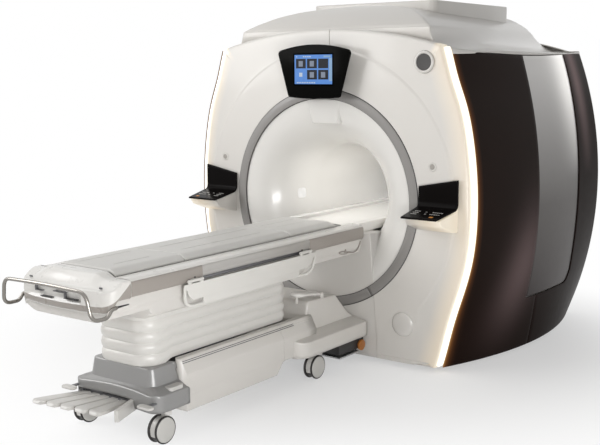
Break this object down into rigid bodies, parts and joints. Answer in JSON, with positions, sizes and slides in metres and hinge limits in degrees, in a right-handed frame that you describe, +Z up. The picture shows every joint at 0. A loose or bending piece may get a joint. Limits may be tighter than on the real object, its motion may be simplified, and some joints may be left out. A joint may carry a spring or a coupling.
{
  "type": "mri scanner",
  "caption": "Whole-body MRI scanner: magnet housing with a flared bore, display and consoles, and a docked wheeled patient table that lifts.",
  "frame": {"origin": "on the floor, under the middle of the bore, at the centre of the four anchor holes", "axes": "+Z up, the patient side looks towards -Y, the bore runs along Y, +X to the right seen from the patient side"},
  "size_m": [2.3338, 4.455, 2.388],
  "materials": {
    "cover_white": "satin moulded cover, warm white",
    "cover_dark": "glossy dark espresso brown",
    "insert_silver": "silver-grey metallic paint",
    "ring_grey": "matte mid grey",
    "light": "bright diffuser",
    "black_gloss": "glossy black",
    "screen": "glossy panel",
    "bore_white": "satin white liner",
    "steel": "brushed",
    "coil": "cast resin",
    "frame_metal": "matte dark paint",
    "table_white": "satin moulded white",
    "rail_taupe": "satin taupe grey",
    "cradle_plastic": "light grey laminate",
    "cushion": "light grey upholstery film",
    "bellows_rubber": "translucent white folds",
    "cap_grey": "satin grey paint",
    "chrome": "polished steel tube",
    "pedal_light": "light grey paint",
    "caster_shell": "light grey hood",
    "tyre_black": "black tyre"
  },
  "bodies": {
    "magnet": {"front_cover_left": "cover_white", "front_cover_right": "cover_white", "dock_bay_panel": "cover_white", "bore_funnel": "bore_white", "trim_ring": "ring_grey", "light_strip_left": "light", "light_strip_right": "light", "side_cover_left_front": "cover_dark", "side_cover_right_front": "cover_dark", "side_cover_left_rear": "cover_dark", "side_cover_right_rear": "cover_dark", "side_insert_left": "insert_silver", "side_insert_right": "insert_silver", "top_cover": "cover_white", "turret_cover": "cover_white", "rear_cover": "cover_white", "cryostat": "steel", "gradient_coil": "coil", "bore_tube": "bore_white", "bore_bridge": "bore_white", "cold_head": "steel", "magnet_feet": "frame_metal", "display_housing": "black_gloss", "display_screen": "screen", "laser_housing": "cover_white", "console_left_tray": "black_gloss", "console_right_tray": "black_gloss", "console_left_bracket": "cover_white", "console_right_bracket": "cover_white", "dock_socket": "frame_metal"},
    "table_base": {"base_chassis": "frame_metal", "base_shroud": "table_white", "foot_cap": "cap_grey", "dock_cover": "table_white", "bellows": "bellows_rubber"},
    "table_top": {"table_frame": "frame_metal", "table_shell": "table_white", "side_rails": "rail_taupe", "foot_end_casting": "table_white"},
    "cradle_body": {"cradle": "cradle_plastic", "cradle_pads": "cushion"},
    "side_guard_left": {"side_guard_left": "table_white"},
    "side_guard_right": {"side_guard_right": "table_white"},
    "push_handle": {"push_handle": "chrome"},
    "release_lever": {"release_lever": "table_white"},
    "brake_bar": {"brake_bar": "pedal_light"},
    "pedal_one": {"pedal_one": "pedal_light"},
    "pedal_two": {"pedal_two": "pedal_light"},
    "pedal_three": {"pedal_three": "pedal_light"},
    "pedal_four": {"pedal_four": "pedal_light"},
    "pedal_five": {"pedal_five": "pedal_light"},
    "caster_foot_left": {"caster_foot_left": "caster_shell"},
    "caster_foot_right": {"caster_foot_right": "caster_shell"},
    "caster_head_left": {"caster_head_left": "caster_shell"},
    "caster_head_right": {"caster_head_right": "caster_shell"},
    "wheels_foot_left": {"wheels_foot_left": "tyre_black"},
    "wheels_foot_right": {"wheels_foot_right": "tyre_black"},
    "wheels_head_left": {"wheels_head_left": "tyre_black"},
    "wheels_head_right": {"wheels_head_right": "tyre_black"},
    "column_mid": {"column_mid": "steel"}
  },
  "joints": [
    {"name": "dock_slide", "type": "slide", "parent": "magnet", "child": "table_base", "axis": [0, -1, 0], "range_m": [0, 0.6]},
    {"name": "lift", "type": "slide", "parent": "table_base", "child": "table_top", "axis": [0, 0, 1], "range_m": [-0.16, 0], "deforming": ["bellows"]},
    {"name": "column_stage", "type": "slide", "parent": "table_base", "child": "column_mid", "axis": [0, 0, 1], "range_m": [-0.08, 0]},
    {"name": "cradle_slide", "type": "slide", "parent": "table_top", "child": "cradle_body", "axis": [0, 1, 0], "range_m": [0, 1.9]},
    {"name": "guard_right_fold", "type": "hinge", "parent": "table_top", "child": "side_guard_right", "pos_m": [0.352, -2.2, 0.842], "axis": [0, -1, 0], "range_deg": [0, 178]},
    {"name": "guard_left_fold", "type": "hinge", "parent": "table_top", "child": "side_guard_left", "pos_m": [-0.352, -2.2, 0.842], "axis": [0, 1, 0], "range_deg": [0, 178]},
    {"name": "handle_slide", "type": "slide", "parent": "table_top", "child": "push_handle", "axis": [0, 1, 0], "range_m": [0, 0.055]},
    {"name": "lever_lift", "type": "hinge", "parent": "table_base", "child": "release_lever", "pos_m": [0.188, -1.352, 0.496], "axis": [-1, 0, 0], "range_deg": [0, 16], "stiffness_Nm_per_rad": 3},
    {"name": "brake_press", "type": "hinge", "parent": "table_base", "child": "brake_bar", "pos_m": [0, -2.898, 0.236], "axis": [1, 0, 0], "range_deg": [0, 7], "stiffness_Nm_per_rad": 30},
    {"name": "pedal_one_press", "type": "hinge", "parent": "table_base", "child": "pedal_one", "pos_m": [0, -2.936, 0.19], "axis": [1, 0, 0], "range_deg": [0, 10], "stiffness_Nm_per_rad": 20},
    {"name": "pedal_two_press", "type": "hinge", "parent": "table_base", "child": "pedal_two", "pos_m": [0, -2.936, 0.19], "axis": [1, 0, 0], "range_deg": [0, 10], "stiffness_Nm_per_rad": 20},
    {"name": "pedal_three_press", "type": "hinge", "parent": "table_base", "child": "pedal_three", "pos_m": [0, -2.936, 0.19], "axis": [1, 0, 0], "range_deg": [0, 10], "stiffness_Nm_per_rad": 20},
    {"name": "pedal_four_press", "type": "hinge", "parent": "table_base", "child": "pedal_four", "pos_m": [0, -2.936, 0.19], "axis": [1, 0, 0], "range_deg": [0, 10], "stiffness_Nm_per_rad": 20},
    {"name": "pedal_five_press", "type": "hinge", "parent": "table_base", "child": "pedal_five", "pos_m": [0, -2.936, 0.19], "axis": [1, 0, 0], "range_deg": [0, 10], "stiffness_Nm_per_rad": 20},
    {"name": "swivel_foot_left", "type": "hinge", "parent": "table_base", "child": "caster_foot_left", "pos_m": [-0.286, -2.862, 0.16], "axis": [0, 0, 1], "continuous": true},
    {"name": "roll_foot_left", "type": "hinge", "parent": "caster_foot_left", "child": "wheels_foot_left", "pos_m": [-0.286, -2.907, 0.075], "axis": [1, 0, 0], "continuous": true},
    {"name": "swivel_head_left", "type": "hinge", "parent": "table_base", "child": "caster_head_left", "pos_m": [-0.286, -1.492, 0.16], "axis": [0, 0, 1], "continuous": true},
    {"name": "roll_head_left", "type": "hinge", "parent": "caster_head_left", "child": "wheels_head_left", "pos_m": [-0.286, -1.537, 0.075], "axis": [1, 0, 0], "continuous": true},
    {"name": "swivel_foot_right", "type": "hinge", "parent": "table_base", "child": "caster_foot_right", "pos_m": [0.286, -2.862, 0.16], "axis": [0, 0, 1], "continuous": true},
    {"name": "roll_foot_right", "type": "hinge", "parent": "caster_foot_right", "child": "wheels_foot_right", "pos_m": [0.286, -2.907, 0.075], "axis": [1, 0, 0], "continuous": true},
    {"name": "swivel_head_right", "type": "hinge", "parent": "table_base", "child": "caster_head_right", "pos_m": [0.286, -1.492, 0.16], "axis": [0, 0, 1], "continuous": true},
    {"name": "roll_head_right", "type": "hinge", "parent": "caster_head_right", "child": "wheels_head_right", "pos_m": [0.286, -1.537, 0.075], "axis": [1, 0, 0], "continuous": true}
  ],
  "couplings": [
    {"joint": "column_stage", "follows": "lift", "ratio": 0.5}
  ]
}
